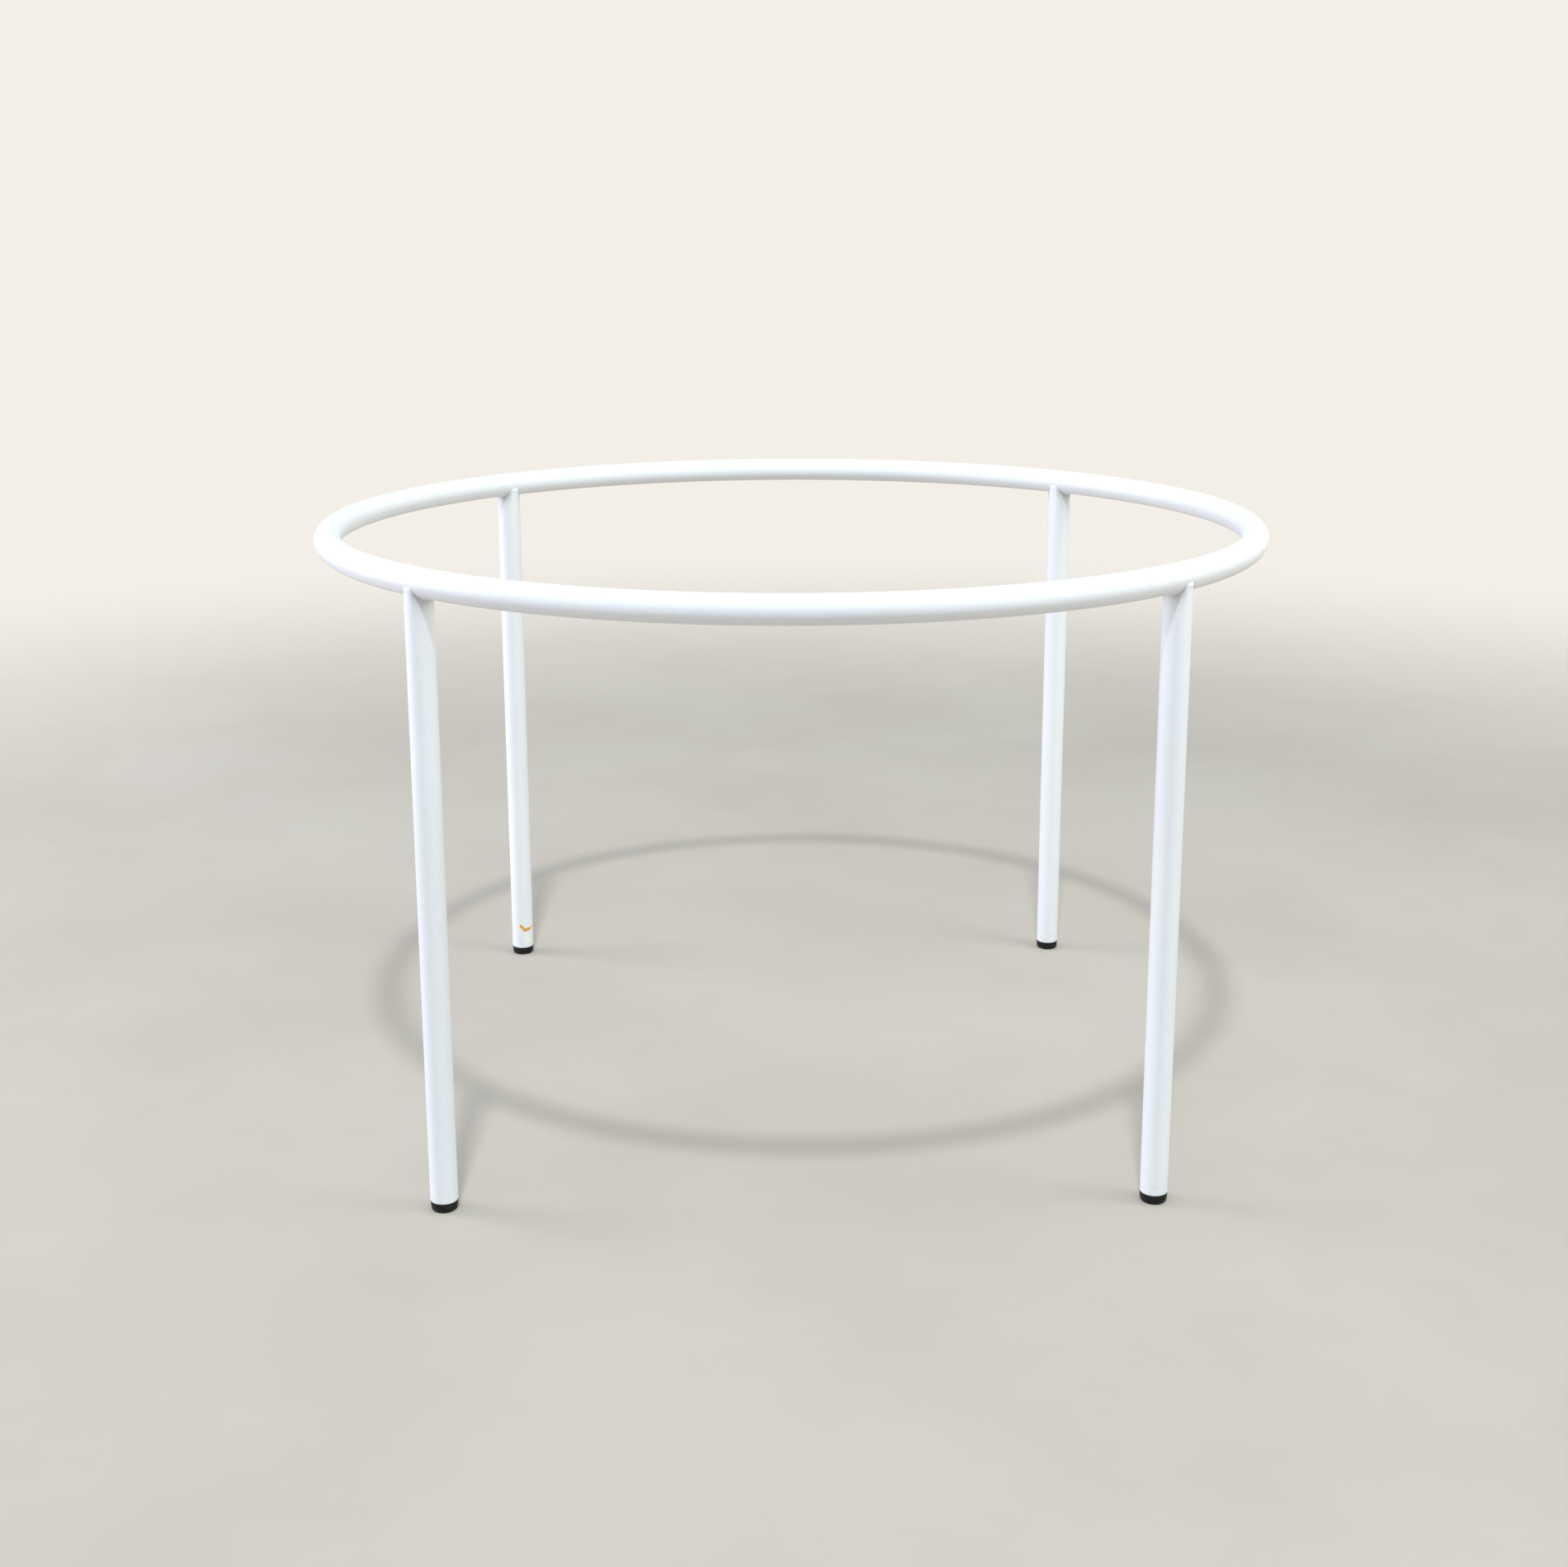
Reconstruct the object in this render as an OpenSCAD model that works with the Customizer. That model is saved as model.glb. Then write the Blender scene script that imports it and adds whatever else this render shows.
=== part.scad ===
// Ring stand: a ring of round tube on four straight legs of the same tube.
// The steel is welded and powder coated, and plastic inserts make the feet.
// The origin is on the floor, below the centre of the ring. +Z is up.

/* [Tube] */
// Outside diameter of the tube that the ring and the legs are made from
tube_od = 15; // [13:0.5:20]
// Wall thickness of that tube
tube_wall = 1.2; // [0.8:0.1:1.6]

/* [Ring] */
// Overall diameter, across the outside of the ring
ring_od = 550; // [350:5:900]
// Overall height, from the floor to the top of the ring
stand_height = 350; // [200:5:700]
// Width of the butt weld that closes the rolled tube
seam_width = 2.5; // [1.5:0.5:5]
// Direction of that weld from the centre, where 90 is straight back
seam_azimuth = 90; // [70:5:110]

/* [Legs] */
// Outward lean of each leg, in degrees
leg_splay = 0.9; // [0:0.1:3]
// Height trimmed off the two feather edges of each coped leg top
cope_trim = 1.5; // [1:0.1:3]

/* [Welds] */
// Length of each side of the fillet in the corner between a leg and the ring
fillet_size = 2.6; // [1.5:0.1:3.5]
// Width of that fillet across the ring
fillet_width = 11; // [9:0.5:12]

/* [Feet] */
// Height of the insert's head, which shows below the tube
head_height = 5.5; // [4:0.1:10]
// How much narrower the head's diameter is at the bottom than at the top
head_taper = 1.1; // [0:0.1:2]
// Radius of the head's lower edge
head_edge = 1; // [0.5:0.1:1.5]
// Depth of the shank inside the tube
shank_depth = 14; // [8:1:25]
// Number of gripping ribs around the shank
rib_count = 4; // [2:1:5]

/* [Hidden] */

// Directions of the four legs from the centre
front_left = 225;
front_right = 315;
back_right = 45;
back_left = 135;

coat = "white";
moulding = [0.12, 0.12, 0.12];

tube_r = tube_od / 2;
bore_r = tube_r - tube_wall;
ring_r = ring_od / 2 - tube_r;
ring_z = stand_height - tube_r;
seam_angle = 360 * seam_width / (2 * PI * ring_r);

// Each leg's axis crosses the ring's centre line and meets the floor at foot_r
foot_r = ring_r + ring_z * tan(leg_splay);
axis_length = ring_z / cos(leg_splay);

head_r = tube_r - 0.1;
sole_r = head_r - head_taper / 2 - head_edge;
// The head goes on below the floor line until the slanted sole is cut level
sole_allowance = sole_r * tan(leg_splay);
rib_r = bore_r - 0.03;
shank_r = bore_r - 0.8;
core_r = shank_r - 1.6;
rib_pitch = (shank_depth - 1) / rib_count;
rib_height = 1.2;

margin = 1;
$fn = 96;
ring_fn = 240;
edge_steps = 8;

// The ring's outer surface as a solid bar, which the leg tops are coped around
module ring_bar() {
    translate([0, 0, ring_z])
        rotate_extrude($fn = ring_fn)
            translate([ring_r, 0])
                circle(r = tube_r);
}

// An arc of the ring's tube, going anticlockwise from the azimuth where it starts
module ring_arc(start, sweep) {
    translate([0, 0, ring_z])
        rotate([0, 0, start])
            rotate_extrude(angle = sweep, $fn = ring_fn)
                translate([ring_r, 0])
                    difference() {
                        circle(r = tube_r);
                        circle(r = bore_r);
                    }
}

// A leg's own frame: the origin is where its axis meets the floor, +Z runs up
// the leg, +X points away from the centre and +Y runs along the ring
module at_leg(azimuth) {
    rotate([0, 0, azimuth])
        translate([foot_r, 0, 0])
            rotate([0, -leg_splay, 0])
                children();
}

module ring() {
    color(coat)
        ring_arc(seam_azimuth + seam_angle / 2, 360 - seam_angle);
}

module ring_seam_weld() {
    color(coat)
        ring_arc(seam_azimuth - seam_angle / 2, seam_angle);
}

module leg(azimuth) {
    length = axis_length - cope_trim - head_height;
    color(coat)
        difference() {
            at_leg(azimuth)
                translate([0, 0, head_height])
                    difference() {
                        cylinder(h = length, r = tube_r);
                        translate([0, 0, -margin])
                            cylinder(h = length + 2 * margin, r = bore_r);
                    }
            ring_bar();
        }
}

// Two fillets, one in each corner where the leg meets the underside of the ring.
// Each is what a short bar, lying at 45 degrees across the corner, has outside
// both tubes.
module weld(azimuth) {
    crest = sqrt(2) * tube_r + fillet_size / sqrt(2);
    color(coat)
        difference() {
            at_leg(azimuth)
                translate([0, 0, axis_length])
                    for (turn = [0, 180])
                        rotate([0, 0, turn])
                            rotate([-45, 0, 0])
                                translate([0, crest - fillet_width / 2, 0])
                                    cylinder(h = 2 * fillet_size, r = fillet_width / 2, center = true);
            ring_bar();
            at_leg(azimuth)
                cylinder(h = axis_length, r = tube_r);
        }
}

// Half of the insert's section: the sole, the round lower edge, the tapered
// side of the head, the shoulder under the tube, the shank and the core hole
function head_profile() = concat(
    [[0, -sole_allowance], [sole_r, -sole_allowance]],
    [for (i = [1 : edge_steps])
        let (a = 90 * i / edge_steps)
        [sole_r + head_edge * sin(a), head_edge * (1 - cos(a)) - sole_allowance]],
    [[head_r, head_height], [shank_r, head_height], [shank_r, head_height + shank_depth],
        [core_r, head_height + shank_depth], [core_r, head_height], [0, head_height]]
);

// A rib with a slanted upper side, which lets the shank in and grips on the way out
function rib_profile() = [
    [shank_r - 0.2, 0], [rib_r, 0], [rib_r, 0.5], [shank_r - 0.2, rib_height]
];

module foot(azimuth) {
    color(moulding)
        difference() {
            at_leg(azimuth)
                union() {
                    rotate_extrude()
                        polygon(head_profile());
                    for (i = [1 : rib_count])
                        translate([0, 0, head_height + i * rib_pitch - rib_height])
                            rotate_extrude()
                                polygon(rib_profile());
                }
            rotate([0, 0, azimuth])
                translate([foot_r, 0, -margin])
                    cube([2 * tube_od, 2 * tube_od, 2 * margin], center = true);
        }
}

ring();
ring_seam_weld();
leg(front_left);  // leg_front_left
leg(front_right);  // leg_front_right
leg(back_right);  // leg_back_right
leg(back_left);  // leg_back_left
weld(front_left);  // weld_front_left
weld(front_right);  // weld_front_right
weld(back_right);  // weld_back_right
weld(back_left);  // weld_back_left
foot(front_left);  // foot_front_left
foot(front_right);  // foot_front_right
foot(back_right);  // foot_back_right
foot(back_left);  // foot_back_left
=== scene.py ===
import math

import bpy
import numpy as np
from mathutils import Matrix, Vector


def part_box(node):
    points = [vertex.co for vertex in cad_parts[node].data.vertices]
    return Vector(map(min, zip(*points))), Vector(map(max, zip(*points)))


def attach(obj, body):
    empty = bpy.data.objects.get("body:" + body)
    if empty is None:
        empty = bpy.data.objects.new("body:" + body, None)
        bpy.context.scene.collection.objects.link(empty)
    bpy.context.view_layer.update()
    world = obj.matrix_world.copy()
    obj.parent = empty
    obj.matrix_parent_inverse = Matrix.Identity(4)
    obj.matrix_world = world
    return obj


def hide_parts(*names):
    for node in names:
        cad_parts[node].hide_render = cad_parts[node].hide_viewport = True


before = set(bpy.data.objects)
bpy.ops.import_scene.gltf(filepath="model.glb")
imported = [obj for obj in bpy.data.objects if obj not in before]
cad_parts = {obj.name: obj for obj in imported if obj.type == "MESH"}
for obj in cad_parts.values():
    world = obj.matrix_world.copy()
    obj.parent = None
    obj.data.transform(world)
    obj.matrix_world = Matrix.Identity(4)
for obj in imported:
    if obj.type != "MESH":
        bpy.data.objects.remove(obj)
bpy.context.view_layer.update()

# Ring stand: a ring of round tube welded on four coped tube legs, powder coated
# white, with black moulded inserts in the leg ends. Lengths are in metres.

MM = 0.001
TAU = 2 * math.pi

# Sizes and places, all read from the frame
ring_low, ring_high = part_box("ring")
seam_low, seam_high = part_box("ring_seam_weld")
TUBE_R = (ring_high.z - ring_low.z) / 2
RING_R = (ring_high.x - ring_low.x) / 2 - TUBE_R
RING_Z = ring_high.z - TUBE_R
SEAM_WIDTH = seam_high.x - seam_low.x
WALL = 1.2 * MM
BORE_R = TUBE_R - WALL
# Direction of the butt weld from the centre
BACK = math.pi / 2
CORNERS = ("front_left", "front_right", "back_right", "back_left")

# Coating: its rounded lower edge, and the slightly fat bead that it forms above that
PAINT_EDGE = 0.45 * MM
PAINT_BEAD = 0.04 * MM
PAINT_BEAD_HEIGHT = 1.1 * MM
PAINT_BEAD_SPREAD = 0.7 * MM

# Welds. The ears are the two tips of a leg's saddle cut, towards the centre and away
# from it; the corners are the two low sides between them, along the ring.
SEAM_PROUD = 0.10 * MM
CONTACT_GAP = 0.02 * MM
EDGE_DIP = 0.06 * MM
CORNER_BLEND = 2.0 * MM
EAR_BLEND = 0.6 * MM
EAR_DRESSING = 1.3 * MM
EAR_TOE = 3.4 * MM
EAR_LUMP = 0.22 * MM
EAR_LUMP_DEPTH = 3.4 * MM
EAR_LUMP_TALL = 1.5 * MM
EAR_LUMP_WIDE = 3.0 * MM
RIPPLE_HEIGHT = 0.04 * MM
RIPPLE_COUNT = 44
BEAD_LUMP = 0.04 * MM
BEAD_ROOT = 0.35 * MM
LEG_TIP_ROUND = 0.3 * MM
BEAD_TIP_ROUND = 0.6 * MM
# How far the painted shade in the corners under the ring reaches
PAINTED_SHADE_REACH = 5.0 * MM

# Foot inserts
HEAD_INSET = 0.1 * MM
HEAD_ROUND = 0.3 * MM
SOLE_INSET = 1.75 * MM
SOLE_EDGE = 1.35 * MM
SHANK_DEPTH = 14 * MM
SHANK_GAP = 0.8 * MM
CORE_WALL = 1.6 * MM
RIB_COUNT = 4
RIB_HEIGHT = 1.2 * MM
RIB_GAP = 0.05 * MM
NEAR_AXIS = 0.001 * MM

# Mesh density
RING_STEPS = 480
BORE_STEPS = 120
TUBE_STEPS = 96
SEAM_ROWS = 13
LEG_STEPS = 96
WELD_STEPS = 144
WELD_ROWS = 22
FOOT_STEPS = 80
BISECTIONS = 40
# Heights above a leg's lower end that are meshed finely, for the glue mark
FINE_HEIGHTS = np.arange(0.9, 26, 0.45) * MM
PLAIN_START = 30 * MM
PLAIN_ROWS = 14
# Below this height from the ring's centre line a leg's rows are level, and above
# it they bend to follow the cope
JOINT_DEPTH = 3.2 * TUBE_R
JOINT_ROWS = 9


# ---------------------------------------------------------------- mesh tools

def smoothstep(low, high, x):
    t = np.clip((np.asarray(x, float) - low) / (high - low), 0, 1)
    return t * t * (3 - 2 * t)


def smooth_min(a, b, k):
    """The smaller of a and b, rounded off where they differ by less than k."""
    h = np.clip(0.5 + 0.5 * (b - a) / k, 0, 1)
    return b + (a - b) * h - k * h * (1 - h)


def rise_until(test, low, high):
    """Bisects for the place in low..high where test turns from true to false."""
    for _ in range(BISECTIONS):
        middle = (low + high) / 2
        inside = test(middle)
        low, high = np.where(inside, middle, low), np.where(inside, high, middle)
    return low


def grid_faces(rows, columns, first=0, close_rows=False, flip=False):
    """Quads over a grid whose columns wrap round."""
    faces = []
    for i in range(rows if close_rows else rows - 1):
        below, above = i * columns, (i + 1) % rows * columns
        for j in range(columns):
            k = (j + 1) % columns
            quad = [first + n for n in (below + j, below + k, above + k, above + j)]
            faces.append(quad[::-1] if flip else quad)
    return faces


def new_piece(name, points, faces, node, material, sharp=35):
    mesh = bpy.data.meshes.new(name)
    mesh.from_pydata([tuple(p) for p in points], [], faces)
    mesh.validate()
    mesh.polygons.foreach_set("use_smooth", [True] * len(mesh.polygons))
    mesh.set_sharp_from_angle(angle=math.radians(sharp))
    mesh.materials.append(material)
    mesh.update()
    piece = bpy.data.objects.new(name, mesh)
    bpy.context.scene.collection.objects.link(piece)
    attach(piece, "root")
    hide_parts(node)
    return piece


def add_attribute(piece, name, values):
    attribute = piece.data.attributes.new(name, "FLOAT", "POINT")
    attribute.data.foreach_set("value", np.asarray(values, np.float32))


# ------------------------------------------------------------- leg geometry

class Leg:
    """One leg's own frame. The origin is where its axis crosses the ring's centre
    line, up runs along the leg, out points away from the centre and along lies
    along the ring."""

    def __init__(self, corner):
        low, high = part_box("foot_" + corner)
        tube_low, tube_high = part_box("leg_" + corner)
        centre = (low + high) / 2
        outward = Vector((centre.x, centre.y, 0))
        foot_radius = outward.length
        outward.normalize()
        self.index = CORNERS.index(corner)
        self.horizontal = np.array(outward)
        self.origin = RING_R * self.horizontal + np.array((0, 0, RING_Z))
        # The foot's box is centred on the axis at the height of the tube's end
        lean = math.atan2(foot_radius - RING_R, RING_Z - tube_low.z)
        end_z = tube_low.z + TUBE_R * math.sin(lean)
        self.up = math.cos(lean) * np.array((0, 0, 1.0)) - math.sin(lean) * self.horizontal
        self.out = math.cos(lean) * self.horizontal + math.sin(lean) * np.array((0, 0, 1.0))
        self.along = np.cross(self.up, self.out)
        self.floor_h = -RING_Z / math.cos(lean)
        self.end_h = -(RING_Z - end_z) / math.cos(lean)
        self.trim = (RING_Z - tube_high.z + TUBE_R * math.sin(lean)) / math.cos(lean) + EAR_DRESSING

    def point(self, radius, angle, height):
        """World points from leg coordinates, which may be arrays."""
        radius, angle, height = np.broadcast_arrays(radius, angle, height)
        x, y = radius * np.cos(angle), radius * np.sin(angle)
        return (self.origin + x[..., None] * self.out + y[..., None] * self.along
                + height[..., None] * self.up)

    def ring_distance(self, p):
        across = np.hypot(p[..., 0], p[..., 1]) - RING_R
        return np.hypot(across, p[..., 2] - RING_Z) - TUBE_R

    def leg_distance(self, p):
        """Distance from the leg's tube, which stops a little below the ring's middle."""
        q = p - self.origin
        h = q @ self.up
        side = np.linalg.norm(q - h[..., None] * self.up, axis=-1) - TUBE_R
        cap = h + self.trim
        outside = np.hypot(np.maximum(side, 0), np.maximum(cap, 0))
        return outside + np.minimum(np.maximum(side, cap), 0)

    def cope(self, radius, angle):
        """Height where a line up the tube's wall meets the underside of the ring."""
        def clear(height):
            return self.ring_distance(self.point(radius, angle, height)) > CONTACT_GAP

        return rise_until(clear, np.full(angle.shape, -2 * TUBE_R), np.zeros(angle.shape))

    def blend_width(self, p):
        """The weld is fuller in the two corners than at the ears, and its width
        wanders a little, as a hand-laid bead's does."""
        along, out = (p - self.origin) @ self.along, (p - self.origin) @ self.out
        angle = np.arctan2(along, out)
        wander = 0.08 * np.sin(2 * angle + 1.7 * self.index) + 0.05 * np.sin(5 * angle + self.index)
        corner = smoothstep(0.60, 1.0, np.abs(along) / TUBE_R)
        return (EAR_BLEND + (CORNER_BLEND - EAR_BLEND) * corner) * (1 + wander)

    def painted_crevice_shade(self, p):
        """Weight of the painted shade: 1 in the sharp corner under the ring, falling off over a few
        millimetres.
        """
        gap = np.maximum(self.ring_distance(p), 0) + np.maximum(self.leg_distance(p), 0)
        beside = np.abs((p - self.origin) @ self.along) / TUBE_R
        place = smoothstep(0.15, 0.55, beside) * (1 - 0.5 * smoothstep(0.85, 1.1, beside))
        return place * np.exp(-gap / PAINTED_SHADE_REACH)

    def weld_surface(self, p):
        return smooth_min(self.ring_distance(p), self.leg_distance(p), self.blend_width(p))


LEGS = {corner: Leg(corner) for corner in CORNERS}


# ------------------------------------------------------------------- pieces

def make_ring(material):
    """The rolled tube, open at both ends where the butt weld closes it."""
    half_seam = SEAM_WIDTH / 2 / RING_R
    around = np.arange(TUBE_STEPS) / TUBE_STEPS * TAU
    points, faces, ends = [], [], []
    for radius, steps, flip in ((TUBE_R, RING_STEPS, True), (BORE_R, BORE_STEPS, False)):
        turn = np.linspace(BACK + half_seam, BACK + TAU - half_seam, steps + 1)[:, None]
        across = RING_R + radius * np.cos(around)
        x, y = np.cos(turn) * across, np.sin(turn) * across
        z = np.broadcast_to(RING_Z + radius * np.sin(around), x.shape)
        first = len(points)
        points += np.stack([x, y, z], -1).reshape(-1, 3).tolist()
        faces += grid_faces(steps + 1, TUBE_STEPS, first, flip=flip)
        ends.append((first, first + steps * TUBE_STEPS))
    for outer, inner, flip in zip(*ends, (True, False)):
        for j in range(TUBE_STEPS):
            k = (j + 1) % TUBE_STEPS
            quad = [outer + k, outer + j, inner + j, inner + k]
            faces.append(quad[::-1] if flip else quad)
    return new_piece("ring_tube", points, faces, "ring", material)


def make_seam(material):
    """The butt weld that closes the ring: a dressed band, a little proud of the tube."""
    half = SEAM_WIDTH / 2 / RING_R
    around = np.arange(TUBE_STEPS) / TUBE_STEPS * TAU
    across = np.linspace(-1, 1, SEAM_ROWS)
    edge = np.abs(across) > 0.99
    lift = SEAM_PROUD * (1 - across ** 2)[:, None] * (1 + 0.3 * np.sin(3 * around))[None, :]
    # It is ground flush along the top, where things stand on the ring
    lift = lift * smoothstep(-1.05, -0.3, -np.sin(around))[None, :]
    # Its two edges reach on over the tube's ends and dip under their surface
    outer = TUBE_R + lift - EDGE_DIP * edge[:, None]
    turn = BACK + half * across * (1 + 0.4 * edge)
    layers = []
    for radius in (outer, np.full(outer.shape, BORE_R)):
        ring = RING_R + radius * np.cos(around)
        x, y = np.cos(turn)[:, None] * ring, np.sin(turn)[:, None] * ring
        layers.append(np.stack([x, y, RING_Z + radius * np.sin(around)], -1))
    loop = np.concatenate([layers[0], layers[1][::-1]])
    faces = grid_faces(2 * SEAM_ROWS, TUBE_STEPS, close_rows=True, flip=True)
    return new_piece("ring_seam_bead", loop.reshape(-1, 3), faces, "ring_seam_weld",
                     material)


def stroke(u, v, start, end, width):
    """1 on a stroke between two points, falling to 0 past its half width."""
    start, end = np.array(start), np.array(end)
    d = end - start
    t = np.clip(((u - start[0]) * d[0] + (v - start[1]) * d[1]) / (d @ d), 0, 1)
    distance = np.hypot(u - start[0] - t * d[0], v - start[1] - t * d[1])
    return 1 - smoothstep(0.25 * width, 0.95 * width, distance)


def tape_residue(leg, angle, height):
    """Dried glue on the back left leg: a tan V with a pale smear under it. The strokes
    are in millimetres, u round the leg from the side that faces the camera and v up
    from the leg's lower end."""
    to_camera = np.array(CAMERA_PLACE) - leg.point(0, 0, leg.end_h)
    facing = math.atan2(to_camera @ leg.along, to_camera @ leg.out)
    turn = (angle - facing + math.pi) % TAU - math.pi
    u = turn * TUBE_R / MM
    v = (height - leg.end_h) / MM
    mark = 0.95 * stroke(u, v, (-1.4, 17.2), (1.4, 14.0), 1.8)
    mark = np.maximum(mark, 1.0 * stroke(u, v, (1.4, 13.9), (4.8, 14.4), 2.1))
    mark = np.maximum(mark, 0.68 * stroke(u, v, (4.8, 14.4), (11.8, 15.8), 1.5))
    pale = 0.30 * stroke(u, v, (2.0, 12.4), (5.4, 5.0), 3.0)
    return np.maximum(mark, pale)


def leg_rows(leg, angle):
    """Radius and heights of each row of points, round the lower edge, up the outside
    to the saddle cut and down the bore."""
    outer_top = smooth_min(leg.cope(TUBE_R, angle), np.full(LEG_STEPS, -leg.trim), LEG_TIP_ROUND)
    inner_top = np.minimum(leg.cope(BORE_R, angle), -leg.trim)
    bottom, joint = leg.end_h, -JOINT_DEPTH
    rows = []
    for a in np.linspace(0, math.pi / 2, 5):
        radius = TUBE_R - PAINT_EDGE * (1 - math.sin(a))
        rows.append((radius, np.full(LEG_STEPS, bottom + PAINT_EDGE * (1 - math.cos(a)))))
    for h in FINE_HEIGHTS:
        fat = PAINT_BEAD * math.exp(-((h - PAINT_BEAD_HEIGHT) / PAINT_BEAD_SPREAD) ** 2)
        rows.append((TUBE_R + fat, np.full(LEG_STEPS, bottom + h)))
    for h in np.linspace(bottom + PLAIN_START, joint, PLAIN_ROWS):
        rows.append((TUBE_R, np.full(LEG_STEPS, h)))
    for share in np.linspace(0, 1, JOINT_ROWS)[1:]:
        rows.append((TUBE_R, joint + share * (outer_top - joint)))
    for share in np.linspace(0, 1, JOINT_ROWS)[:-1]:
        rows.append((BORE_R, inner_top + share * (joint - inner_top)))
    rows.append((BORE_R, np.full(LEG_STEPS, joint)))
    rows.append((BORE_R, np.full(LEG_STEPS, bottom)))
    return rows


def make_leg(corner, material):
    """A coped tube: outer wall, saddle-cut rim, bore and a painted lower edge."""
    leg = LEGS[corner]
    angle = np.arange(LEG_STEPS) / LEG_STEPS * TAU
    rows = leg_rows(leg, angle)
    points = np.stack([leg.point(r, angle, h) for r, h in rows])
    faces = grid_faces(len(rows), LEG_STEPS, close_rows=True)
    piece = new_piece("leg_tube_" + corner, points.reshape(-1, 3), faces, "leg_" + corner,
                      material)
    heights = np.concatenate([h for _, h in rows])
    angles = np.tile(angle, len(rows))
    residue = tape_residue(leg, angles, heights) if corner == "back_left" else 0 * heights
    add_attribute(piece, "residue", residue)
    add_attribute(piece, "painted_crevice_shade", leg.painted_crevice_shade(points.reshape(-1, 3)))
    return piece


def ring_point(leg, u, v):
    """A point on the ring's tube, u along the ring and v round it from the underside."""
    tilt, turn = v / TUBE_R, u / RING_R
    across = RING_R + TUBE_R * np.sin(tilt)
    side = np.array((-leg.horizontal[1], leg.horizontal[0], 0))
    flat = np.cos(turn)[..., None] * leg.horizontal + np.sin(turn)[..., None] * side
    height = RING_Z - TUBE_R * np.cos(tilt)
    return across[..., None] * flat + height[..., None] * np.array((0, 0, 1))


def onto_surface(leg, points, offset, steps=6):
    """Moves points along the slope until they lie offset from the blended surface."""
    tiny = 0.002 * MM
    flattest = 1e-6
    for _ in range(steps):
        value = leg.weld_surface(points) - offset
        slope = np.stack([(leg.weld_surface(points + tiny * e) - leg.weld_surface(points - tiny * e))
                          / (2 * tiny) for e in np.eye(3)], -1)
        size = np.maximum((slope ** 2).sum(-1), flattest)
        points = points - (value / size)[..., None] * slope
    return points


def weld_toes(leg, angle, top, width):
    """Where the bead runs out, on the leg and on the ring."""
    round_u, round_v = TUBE_R * np.sin(angle), TUBE_R * np.arcsin(np.clip(np.cos(angle), -1, 1))
    reach = np.hypot(round_u, round_v)
    dir_u, dir_v = round_u / reach, round_v / reach

    def above(height):
        return leg.ring_distance(leg.point(TUBE_R, angle, height)) > width

    def near(distance):
        return leg.leg_distance(ring_point(leg, distance * dir_u, distance * dir_v)) < width

    low = rise_until(above, top - 2 * TUBE_R, top)
    far = rise_until(near, 0.5 * reach, reach + 2 * CORNER_BLEND)
    return leg.point(TUBE_R, angle, low), ring_point(leg, far * dir_u, far * dir_v)


def bead_offset(leg, points, angle, share):
    """Ripples in the corners, soft lumps, and a hump over each ear. Both edges of the
    bead dip under the tubes."""
    edge = np.abs(2 * share - 1)
    window = 1 - smoothstep(0.35, 0.95, edge)
    ripple = RIPPLE_HEIGHT * window * np.sin(RIPPLE_COUNT * angle + 3.0 * edge + 2 * leg.index)
    ripple = ripple * smoothstep(0.45, 0.85, np.abs(np.sin(angle)))
    lump = BEAD_LUMP * window * np.sin(7 * angle + 2.2 * leg.index)
    depth = (points - leg.origin) @ leg.up + EAR_LUMP_DEPTH
    side = (points - leg.origin) @ leg.along
    hump = EAR_LUMP * np.exp(-(depth / EAR_LUMP_TALL) ** 2 - (side / EAR_LUMP_WIDE) ** 2)
    return ripple + lump + hump - EDGE_DIP * smoothstep(0.8, 1.0, edge)


def make_weld(corner, material):
    """The bead all round the joint: a painted fillet in the corners that thins to a
    rounded lump over each ear."""
    leg = LEGS[corner]
    angle = np.arange(WELD_STEPS) / WELD_STEPS * TAU
    top = smooth_min(leg.cope(TUBE_R, angle), np.full(WELD_STEPS, -leg.trim), BEAD_TIP_ROUND)
    root = leg.point(TUBE_R, angle, top)
    width = np.maximum(leg.blend_width(root), EAR_TOE * smoothstep(0.5, 0.9, np.abs(np.cos(angle))))
    toe_low, toe_high = weld_toes(leg, angle, top, width)
    share = np.linspace(0, 1, WELD_ROWS)[:, None, None]
    rows = (1 - share) ** 2 * toe_low + 2 * share * (1 - share) * root + share ** 2 * toe_high
    surface = onto_surface(leg, rows, bead_offset(leg, rows, angle, share[..., 0]))
    inner = root - BEAD_ROOT * (root - leg.point(0, angle, top)) / TUBE_R
    loop = np.concatenate([surface, inner[None]])
    faces = grid_faces(WELD_ROWS + 1, WELD_STEPS, close_rows=True)
    piece = new_piece("weld_bead_" + corner, loop.reshape(-1, 3), faces, "weld_" + corner,
                      material, sharp=60)
    # The painted shade belongs to the leg's side of the bead and fades out towards the ring
    leg_side = np.append(1 - smoothstep(0.25, 0.85, share[:, 0, 0]), 0)[:, None]
    add_attribute(piece, "painted_crevice_shade", (leg_side * leg.painted_crevice_shade(loop)).ravel())
    return piece


def rounded(points, centre, radius, start, end, steps):
    """Adds an arc to an outline, from one angle to another in degrees."""
    for i in range(steps + 1):
        a = math.radians(start + (end - start) * i / steps)
        points.append((centre[0] + radius * math.cos(a), centre[1] + radius * math.sin(a)))


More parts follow.
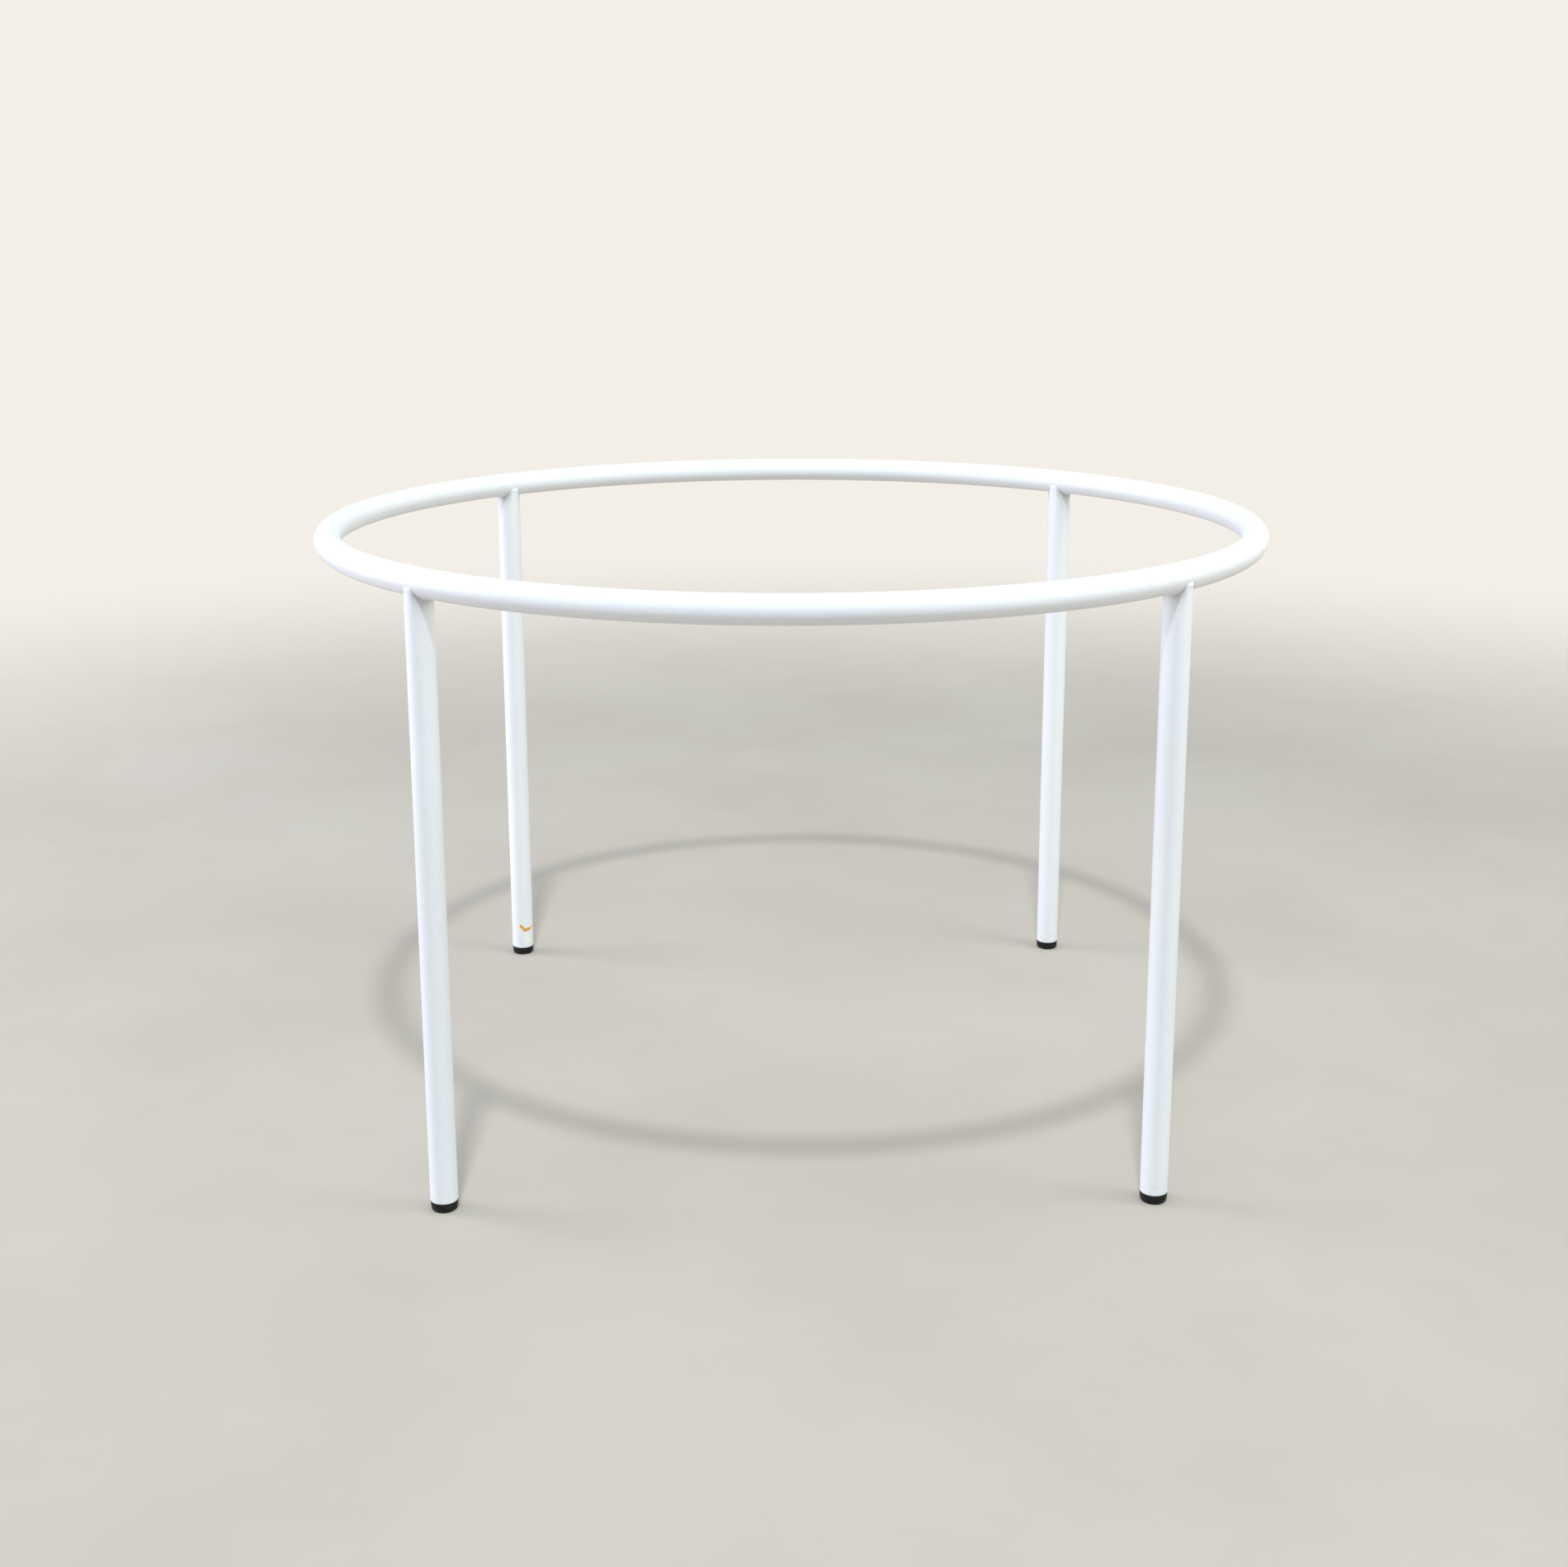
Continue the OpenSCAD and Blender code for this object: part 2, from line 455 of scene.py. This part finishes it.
def sole_profile(sole_r):
    """The gate mark in the middle, the hollow round it, the flat that the foot stands
    on and the round lower edge."""
    points = [(NEAR_AXIS, 0.35 * MM), (1.1 * MM, 0.35 * MM)]
    rounded(points, (1.25 * MM, 0.42 * MM), 0.15 * MM, 230, 330, 3)
    points += [(1.5 * MM, 0.75 * MM), (2.9 * MM, 0.75 * MM), (3.3 * MM, 0.3 * MM)]
    points += [(3.5 * MM, 0.02 * MM), (4.0 * MM, 0), (4.8 * MM, 0)]
    rounded(points, (sole_r, SOLE_EDGE), SOLE_EDGE, 270, 350, 8)
    return points


def rib_profile(shank_r, base):
    """One gripping rib, with its tip just clear of the bore."""
    tip = BORE_R - RIB_GAP
    shoulder = tip - 0.07 * MM
    return [(shank_r, base), (shoulder, base + 0.08 * MM), (tip, base + 0.3 * MM),
            (shoulder, base + 0.5 * MM), (shank_r, base + RIB_HEIGHT)]


def foot_profile(leg):
    """Half of the insert's section, in metres from the axis and from the floor."""
    head = leg.end_h - leg.floor_h
    head_r, shank_r = TUBE_R - HEAD_INSET, BORE_R - SHANK_GAP
    points = sole_profile(head_r - SOLE_INSET)
    # The head's side bellies out from the lower edge to just under the tube
    side_r, side_z = points[-1]
    for share in (0.25, 0.5, 0.75, 0.92):
        r = side_r + (head_r - side_r) * math.sin(share * math.pi / 2)
        points.append((r, side_z + (head - 0.35 * MM - side_z) * share))
    rounded(points, (head_r - HEAD_ROUND, head - HEAD_ROUND), HEAD_ROUND, 0, 90, 4)
    points.append((shank_r, head))
    pitch = (SHANK_DEPTH - 1 * MM) / RIB_COUNT
    for i in range(1, RIB_COUNT + 1):
        points += rib_profile(shank_r, head + i * pitch - RIB_HEIGHT)
    core_r = shank_r - CORE_WALL
    points += [(shank_r - 0.3 * MM, head + SHANK_DEPTH), (core_r, head + SHANK_DEPTH)]
    points += [(core_r - 0.2 * MM, head + 0.5 * MM), (NEAR_AXIS, head + 0.4 * MM)]
    return points


def make_foot(corner, material):
    """The insert: a rounded head with a hollow sole, and a ribbed shank in the bore."""
    leg = LEGS[corner]
    angle = np.arange(FOOT_STEPS) / FOOT_STEPS * TAU
    points = np.stack([leg.point(r, angle, leg.floor_h + h) for r, h in foot_profile(leg)])
    # The leg leans, so the sole is cut level with the floor
    points[..., 2] = np.maximum(points[..., 2], 0)
    faces = grid_faces(len(points), FOOT_STEPS)
    last = (len(points) - 1) * FOOT_STEPS
    faces.append(list(range(FOOT_STEPS))[::-1])
    faces.append([last + j for j in range(FOOT_STEPS)])
    return new_piece("foot_insert_" + corner, points.reshape(-1, 3), faces, "foot_" + corner,
                     material, sharp=40)


# ---------------------------------------------------------------- materials

class Nodes:
    """Short calls for building a node tree."""

    def __init__(self, tree):
        self.tree = tree
        tree.nodes.clear()

    def add(self, kind, **settings):
        node = self.tree.nodes.new(kind)
        for key, value in settings.items():
            setattr(node, key, value)
        return node

    def link(self, output, target):
        self.tree.links.new(output, target)

    def feed(self, node, name, value):
        if isinstance(value, bpy.types.NodeSocket):
            self.link(value, node.inputs[name])
        else:
            node.inputs[name].default_value = value

    def attribute(self, name):
        return self.add("ShaderNodeAttribute", attribute_name=name).outputs["Fac"]

    def height(self, where):
        split = self.add("ShaderNodeSeparateXYZ")
        self.link(where, split.inputs[0])
        return split.outputs["Z"]

    def noise(self, where, scale, detail=2.0, roughness=0.5, distortion=0.0):
        node = self.add("ShaderNodeTexNoise")
        self.link(where, node.inputs["Vector"])
        for name, value in (("Scale", scale), ("Detail", detail), ("Roughness", roughness),
                            ("Distortion", distortion)):
            self.feed(node, name, value)
        return node.outputs["Fac"]

    def remap(self, value, low, high, to_low, to_high):
        node = self.add("ShaderNodeMapRange", interpolation_type="SMOOTHSTEP")
        for name, number in (("Value", value), ("From Min", low), ("From Max", high),
                             ("To Min", to_low), ("To Max", to_high)):
            self.feed(node, name, number)
        return node.outputs["Result"]

    def math(self, operation, a, b):
        node = self.add("ShaderNodeMath", operation=operation)
        self.feed(node, 0, a)
        self.feed(node, 1, b)
        return node.outputs[0]

    def mix(self, factor, a, b):
        node = self.add("ShaderNodeMix", data_type="RGBA")
        for index, value in ((0, factor), (6, a), (7, b)):
            self.feed(node, index, value)
        return node.outputs[2]

    def bump(self, height, distance, normal=None):
        node = self.add("ShaderNodeBump")
        node.inputs["Strength"].default_value = 1.0
        node.inputs["Distance"].default_value = distance
        self.link(height, node.inputs["Height"])
        if normal is not None:
            self.link(normal, node.inputs["Normal"])
        return node.outputs["Normal"]


def new_material(name):
    material = bpy.data.materials.new(name)
    material.use_nodes = True
    nodes = Nodes(material.node_tree)
    output = nodes.add("ShaderNodeOutputMaterial")
    surface = nodes.add("ShaderNodeBsdfPrincipled")
    nodes.link(surface.outputs[0], output.inputs[0])
    where = nodes.add("ShaderNodeTexCoord").outputs["Object"]
    return material, nodes, surface, where


def srgb(r, g, b):
    """A colour given in display values of 0 to 255."""
    channels = [c / 255 for c in (r, g, b)]
    linear = [c / 12.92 if c <= 0.04045 else ((c + 0.055) / 1.055) ** 2.4 for c in channels]
    return (*linear, 1.0)


COAT_WHITE = (0.790, 0.812, 0.832, 1)
COAT_SHADE = (0.762, 0.784, 0.804, 1)
SPECK_GREY = srgb(150, 148, 142)
HANDLING_DIRT = srgb(206, 200, 188)
FLOOR_DIRT = srgb(150, 143, 132)
# Painted shade for the sharp corners under the ring
PAINTED_CORNER_SHADE = srgb(146, 146, 142)
GLUE_PALE = srgb(240, 240, 236)
GLUE_CREAM = srgb(236, 233, 212)
GLUE_SAND = srgb(226, 182, 108)
GLUE_TAN = srgb(206, 142, 62)
PLASTIC_BLACK = (0.006, 0.006, 0.007, 1)
PLASTIC_WORN = (0.012, 0.012, 0.013, 1)
PLASTIC_DUST = (0.16, 0.15, 0.14, 1)
FLOOR_TONE = (0.468, 0.420, 0.362, 1)
FLOOR_CLOUD = (0.436, 0.388, 0.332, 1)


def coat_colour(nodes, where):
    """White with faint clouds, pin-point specks, a little dirt, and painted shade in the corners
    under the ring."""
    cloud = nodes.noise(where, scale=9.0, detail=3.0)
    colour = nodes.mix(nodes.remap(cloud, 0.3, 0.7, 0, 1), COAT_WHITE, COAT_SHADE)
    speck = nodes.noise(where, scale=520.0, detail=1.0)
    colour = nodes.mix(nodes.remap(speck, 0.815, 0.835, 0, 0.30), colour, SPECK_GREY)
    smudge = nodes.noise(where, scale=38.0, detail=5.0, roughness=0.65, distortion=0.4)
    colour = nodes.mix(nodes.remap(smudge, 0.60, 0.78, 0, 0.10), colour, HANDLING_DIRT)
    low_down = nodes.remap(nodes.height(where), 0.006, 0.016, 0.22, 0.0)
    grit = nodes.noise(where, scale=300.0, detail=4.0, roughness=0.7)
    grit = nodes.remap(grit, 0.45, 0.70, 0, 1)
    colour = nodes.mix(nodes.math("MULTIPLY", low_down, grit), colour, FLOOR_DIRT)
    # Painted shade: the coat turns grey in the sharp corners under the ring
    painted_crevice_shade = nodes.remap(nodes.attribute("painted_crevice_shade"), 0.05, 1.0, 0, 0.62)
    return nodes.mix(painted_crevice_shade, colour, PAINTED_CORNER_SHADE)


def glue_colour(nodes, where):
    """Colour and cover of the glue left on one leg, from a pale smear to tan."""
    broken = nodes.noise(where, scale=620.0, detail=4.0, roughness=0.7)
    broken = nodes.remap(broken, 0.30, 0.62, 0.62, 1.12)
    amount = nodes.math("MULTIPLY", nodes.attribute("residue"), broken)
    ramp = nodes.add("ShaderNodeValToRGB")
    nodes.link(amount, ramp.inputs[0])
    stops = ramp.color_ramp.elements
    stops[0].position, stops[0].color = 0.12, GLUE_PALE
    stops[1].position, stops[1].color = 1.0, GLUE_TAN
    for place, tone in ((0.30, GLUE_CREAM), (0.60, GLUE_SAND)):
        stops.new(place).color = tone
    return ramp.outputs["Color"], nodes.remap(amount, 0.05, 0.30, 0, 1)


def powder_coat():
    material, nodes, surface, where = new_material("powder_coat_white")
    glue, cover = glue_colour(nodes, where)
    colour = nodes.mix(cover, coat_colour(nodes, where), glue)
    nodes.link(colour, surface.inputs["Base Color"])
    gloss = nodes.noise(where, scale=60.0, detail=4.0, roughness=0.6)
    gloss = nodes.remap(gloss, 0.3, 0.7, 0.40, 0.52)
    gloss = nodes.math("ADD", gloss, nodes.math("MULTIPLY", cover, 0.25))
    nodes.link(gloss, surface.inputs["Roughness"])
    surface.inputs["Specular IOR Level"].default_value = 0.45
    # Orange peel: pebbles about 2 mm across, with a finer grain on them
    peel = nodes.noise(where, scale=420.0, detail=1.5, roughness=0.45)
    grain = nodes.noise(where, scale=1500.0, detail=2.0, roughness=0.5)
    normal = nodes.bump(grain, 0.012 * MM, nodes.bump(peel, 0.11 * MM))
    nodes.link(normal, surface.inputs["Normal"])
    return material


def foot_plastic():
    material, nodes, surface, where = new_material("foot_plastic_black")
    tone = nodes.noise(where, scale=160.0, detail=4.0, roughness=0.6)
    colour = nodes.mix(nodes.remap(tone, 0.35, 0.7, 0, 1), PLASTIC_BLACK, PLASTIC_WORN)
    # Rubbed and dusty towards the floor
    low_down = nodes.remap(nodes.height(where), 0.0003, 0.0024, 0.5, 0.04)
    scuff = nodes.noise(where, scale=700.0, detail=5.0, roughness=0.7, distortion=0.6)
    dust = nodes.math("MULTIPLY", low_down, nodes.remap(scuff, 0.46, 0.66, 0, 1))
    nodes.link(nodes.mix(dust, colour, PLASTIC_DUST), surface.inputs["Base Color"])
    rough = nodes.remap(nodes.noise(where, scale=240.0, detail=3.0), 0.3, 0.7, 0.50, 0.68)
    rough = nodes.math("ADD", rough, nodes.math("MULTIPLY", dust, 0.25))
    nodes.link(rough, surface.inputs["Roughness"])
    surface.inputs["Specular IOR Level"].default_value = 0.2
    texture = nodes.noise(where, scale=2200.0, detail=3.0, roughness=0.6)
    wave = nodes.noise(where, scale=380.0, detail=2.0)
    normal = nodes.bump(wave, 0.03 * MM, nodes.bump(texture, 0.02 * MM))
    nodes.link(normal, surface.inputs["Normal"])
    return material


def floor_material():
    """Pale warm floor near the part, which fades out to the plain backdrop."""
    material, nodes, surface, where = new_material("studio_floor")
    distance = nodes.add("ShaderNodeVectorMath", operation="LENGTH")
    nodes.link(where, distance.inputs[0])
    cloud = nodes.noise(where, scale=3.0, detail=5.0, roughness=0.6)
    colour = nodes.mix(nodes.remap(cloud, 0.35, 0.65, 0, 1), FLOOR_TONE, FLOOR_CLOUD)
    nodes.link(colour, surface.inputs["Base Color"])
    surface.inputs["Roughness"].default_value = 0.75
    surface.inputs["Specular IOR Level"].default_value = 0.15
    solid = nodes.remap(distance.outputs["Value"], FLOOR_NEAR, FLOOR_FAR, 1, 0)
    nodes.link(solid, surface.inputs["Alpha"])
    return material


# -------------------------------------------------------------------- stage

FLOOR_NEAR, FLOOR_FAR, FLOOR_SIZE = 0.75, 2.0, 2.1

# The camera, in ring radii from the axis and turned from straight in front
CAMERA_BACK, CAMERA_UP, CAMERA_TURN = 4.24946, 1.90692, 0.022739
CAMERA_PITCH, CAMERA_YAW, CAMERA_ROLL = 0.280627, -0.0039996, -0.0027997
LENS, SENSOR = 44.189, 36.0
CAMERA_PLACE = (
    -CAMERA_BACK * RING_R * math.sin(CAMERA_TURN),
    -CAMERA_BACK * RING_R * math.cos(CAMERA_TURN),
    CAMERA_UP * RING_R,
)


def add_camera():
    data = bpy.data.cameras.new("camera")
    data.lens, data.sensor_width, data.sensor_fit = LENS, SENSOR, "HORIZONTAL"
    camera = bpy.data.objects.new("camera", data)
    bpy.context.scene.collection.objects.link(camera)
    heading = Matrix.Rotation(-CAMERA_TURN - CAMERA_YAW, 4, "Z")
    tilt = Matrix.Rotation(math.pi / 2 - CAMERA_PITCH, 4, "X")
    roll = Matrix.Rotation(CAMERA_ROLL, 4, "Z")
    camera.matrix_world = Matrix.Translation(CAMERA_PLACE) @ heading @ tilt @ roll
    bpy.context.scene.camera = camera


def add_floor():
    bpy.ops.mesh.primitive_circle_add(vertices=96, radius=FLOOR_SIZE, fill_type="NGON")
    floor = bpy.context.object
    floor.name = "floor"
    floor.data.materials.append(floor_material())


def add_light(name, place, size, power, colour, target=(0, 0, 0.15)):
    """A round soft light, with its power in watts, aimed at a target."""
    data = bpy.data.lights.new(name, "AREA")
    data.shape, data.size, data.energy, data.color = "DISK", size, power, colour
    light = bpy.data.objects.new(name, data)
    light.location = place
    aim = Vector(target) - Vector(place)
    light.rotation_euler = aim.to_track_quat("-Z", "Y").to_euler()
    light.visible_camera = False
    bpy.context.scene.collection.objects.link(light)


def add_lights():
    add_light("key", (-0.12, -1.73, 3.87), 0.28, 86.0, (0.92, 0.99, 1.04), target=(0, 0, 0))
    add_light("cool_side", (-2.1, 0.35, 0.62), 1.1, 30.0, (0.95, 0.93, 1.10))
    add_light("warm_side", (1.2, -0.35, 1.10), 0.7, 6.5, (0.98, 0.98, 0.90))


# The dome's colours low in its four corners, and overhead in front and behind
DOME_FRONT_LEFT = (0.54, 0.44, 0.45, 1)
DOME_FRONT_RIGHT = (0.60, 0.51, 0.48, 1)
DOME_BACK_LEFT = (0.42, 0.42, 0.40, 1)
DOME_BACK_RIGHT = (1.00, 0.95, 0.82, 1)
DOME_OVER_FRONT = (1.00, 1.24, 1.38, 1)
DOME_OVER_BACK = (0.42, 0.44, 0.46, 1)
BACKDROP = (0.90, 0.865, 0.805, 1)


def add_world():
    """A soft dome, brightest overhead in front. The camera sees a plain pale backdrop."""
    world = bpy.data.worlds.new("studio")
    world.use_nodes = True
    bpy.context.scene.world = world
    nodes = Nodes(world.node_tree)
    output = nodes.add("ShaderNodeOutputWorld")
    background = nodes.add("ShaderNodeBackground")
    nodes.link(background.outputs[0], output.inputs[0])
    split = nodes.add("ShaderNodeSeparateXYZ")
    nodes.link(nodes.add("ShaderNodeTexCoord").outputs["Generated"], split.inputs[0])
    right = nodes.remap(split.outputs["X"], -0.6, 0.6, 0, 1)
    back = nodes.remap(split.outputs["Y"], -0.6, 0.6, 0, 1)
    up = nodes.remap(split.outputs["Z"], 0.0, 0.7, 0, 1)
    low_front = nodes.mix(right, DOME_FRONT_LEFT, DOME_FRONT_RIGHT)
    low_back = nodes.mix(right, DOME_BACK_LEFT, DOME_BACK_RIGHT)
    low = nodes.mix(back, low_front, low_back)
    over = nodes.mix(back, DOME_OVER_FRONT, DOME_OVER_BACK)
    dome = nodes.mix(up, low, over)
    seen = nodes.add("ShaderNodeLightPath").outputs["Is Camera Ray"]
    nodes.link(nodes.mix(seen, dome, BACKDROP), background.inputs["Color"])
    background.inputs["Strength"].default_value = 1.0


# --------------------------------------------------------------------- make

white = powder_coat()
black = foot_plastic()
make_ring(white)
make_seam(white)
for corner in CORNERS:
    make_leg(corner, white)
    make_weld(corner, white)
    make_foot(corner, black)

add_floor()
add_world()
add_lights()
add_camera()
bpy.context.scene.view_settings.view_transform = "Standard"
